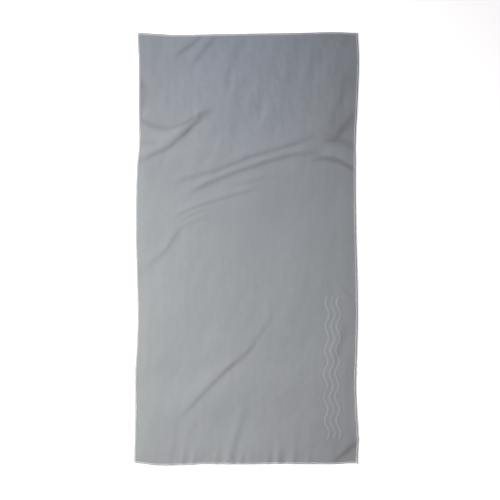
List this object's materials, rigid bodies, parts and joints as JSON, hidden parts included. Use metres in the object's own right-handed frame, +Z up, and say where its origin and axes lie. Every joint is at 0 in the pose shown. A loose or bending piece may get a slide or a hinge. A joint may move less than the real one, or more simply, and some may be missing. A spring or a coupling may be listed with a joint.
{
  "type": "quick dry towel",
  "caption": "Large thin rectangular microfibre towel laid flat, with overlocked edges, that folds crosswise into a quarter-length pack.",
  "frame": {"origin": "centre of the towel on the surface it lies on", "axes": "+X across the towel to its right edge, +Y along it to its top edge, +Z up from its face side"},
  "size_m": [0.7, 1.37, 0.0015],
  "materials": {
    "microfibre": "brushed suede nap, matt, blue-grey",
    "overlock_thread": "twisted polyester thread, slight lustre, warm grey",
    "label_satin": "woven satin tape, off-white, blank"
  },
  "bodies": {
    "upper_middle": {"cloth_upper_middle": "microfibre", "left_seam_upper_middle": "overlock_thread", "right_seam_upper_middle": "overlock_thread"},
    "top_end": {"cloth_top_end": "microfibre", "top_seam": "overlock_thread", "left_seam_top_end": "overlock_thread", "right_seam_top_end": "overlock_thread"},
    "lower_middle": {"cloth_lower_middle": "microfibre", "left_seam_lower_middle": "overlock_thread", "right_seam_lower_middle": "overlock_thread"},
    "bottom_end": {"cloth_bottom_end": "microfibre", "bottom_seam": "overlock_thread", "left_seam_bottom_end": "overlock_thread", "right_seam_bottom_end": "overlock_thread", "care_label": "label_satin"}
  },
  "joints": [
    {"name": "half_fold", "type": "hinge", "parent": "upper_middle", "child": "lower_middle", "pos_m": [0, 0, 0.011], "axis": [-1, 0, 0], "range_deg": [0, 180]},
    {"name": "top_end_fold", "type": "hinge", "parent": "upper_middle", "child": "top_end", "pos_m": [0, 0.3465, 0.005], "axis": [1, 0, 0], "range_deg": [0, 180]},
    {"name": "bottom_end_fold", "type": "hinge", "parent": "lower_middle", "child": "bottom_end", "pos_m": [0, -0.3465, 0.005], "axis": [-1, 0, 0], "range_deg": [0, 180]}
  ]
}
